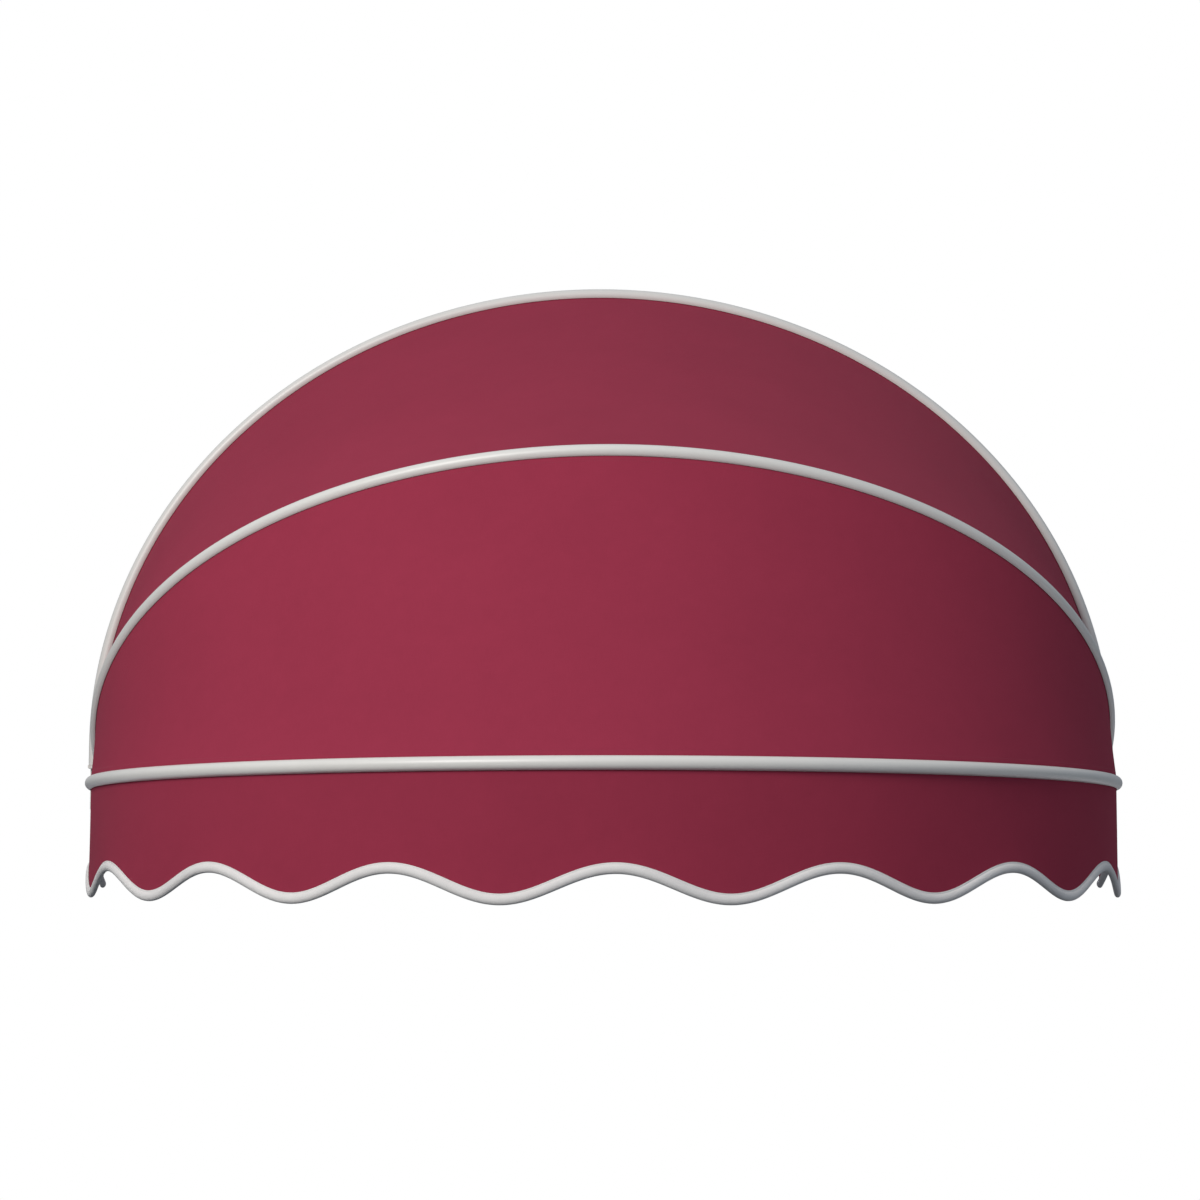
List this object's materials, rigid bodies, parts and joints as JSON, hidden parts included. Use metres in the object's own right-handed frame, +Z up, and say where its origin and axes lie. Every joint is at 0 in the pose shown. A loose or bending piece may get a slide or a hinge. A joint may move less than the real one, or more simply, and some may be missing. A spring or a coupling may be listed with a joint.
{
  "type": "window awning",
  "caption": "Folding dome awning for a window: arched bows on side pivots, a two-panel fabric hood and a valance with a wavy bound hem.",
  "frame": {"origin": "on the wall plane, midway between the two brackets, at the height of the middle bow's pivots", "axes": "+X along the wall to the viewer's right when facing the awning, +Y into the wall (the awning stands out towards -Y), +Z up"},
  "size_m": [1.518, 0.8357, 0.922],
  "materials": {
    "bow_coat": "white powder coat, satin",
    "fitting_coat": "white powder coat over steel",
    "canvas": "woven burgundy awning canvas",
    "binding": "white woven binding tape",
    "welt": "fabric-covered welt cord",
    "zinc_steel": "zinc plated",
    "guide_steel": "stainless, brushed",
    "nylon": "natural nylon"
  },
  "bodies": {
    "wall_frame": {"wall_bow": "bow_coat", "wall_bow_welt": "welt", "upper_canopy": "canvas", "cord_guide_wall_bow": "guide_steel", "wall_clip_1": "fitting_coat", "wall_clip_2": "fitting_coat", "wall_clip_3": "fitting_coat", "wall_clip_4": "fitting_coat", "clip_screw_1": "zinc_steel", "clip_screw_2": "zinc_steel", "clip_screw_3": "zinc_steel", "clip_screw_4": "zinc_steel", "left_wall_bracket": "fitting_coat", "left_mid_pivot_bolt": "zinc_steel", "left_mid_pivot_nut": "zinc_steel", "left_mid_pivot_washer": "nylon", "right_wall_bracket": "fitting_coat", "right_mid_pivot_bolt": "zinc_steel", "right_mid_pivot_nut": "zinc_steel", "right_mid_pivot_washer": "nylon"},
    "middle_arch": {"mid_bow": "bow_coat", "mid_bow_upper_welt": "welt", "mid_bow_lower_welt": "welt", "lower_canopy": "canvas", "cord_guide_mid_bow": "guide_steel", "left_mid_bow_knuckle": "fitting_coat", "left_front_pivot_bolt": "zinc_steel", "left_front_pivot_nut": "zinc_steel", "left_front_pivot_washer": "nylon", "right_mid_bow_knuckle": "fitting_coat", "right_front_pivot_bolt": "zinc_steel", "right_front_pivot_nut": "zinc_steel", "right_front_pivot_washer": "nylon"},
    "front_arch": {"front_bow": "bow_coat", "front_bow_upper_welt": "welt", "front_bow_lower_welt": "welt", "valance": "canvas", "hem_binding": "binding", "cord_guide_front_bow": "guide_steel", "left_front_bow_knuckle": "fitting_coat", "right_front_bow_knuckle": "fitting_coat"}
  },
  "joints": [
    {"name": "mid_fold", "type": "hinge", "parent": "wall_frame", "child": "middle_arch", "pos_m": [0, -0.039, 0], "axis": [-1, 0, 0], "range_deg": [0, 57], "deforming": ["upper_canopy"]},
    {"name": "front_fold", "type": "hinge", "parent": "middle_arch", "child": "front_arch", "pos_m": [0, -0.05512, -0.0253], "axis": [-1, 0, 0], "range_deg": [0, 32], "deforming": ["lower_canopy"]}
  ]
}
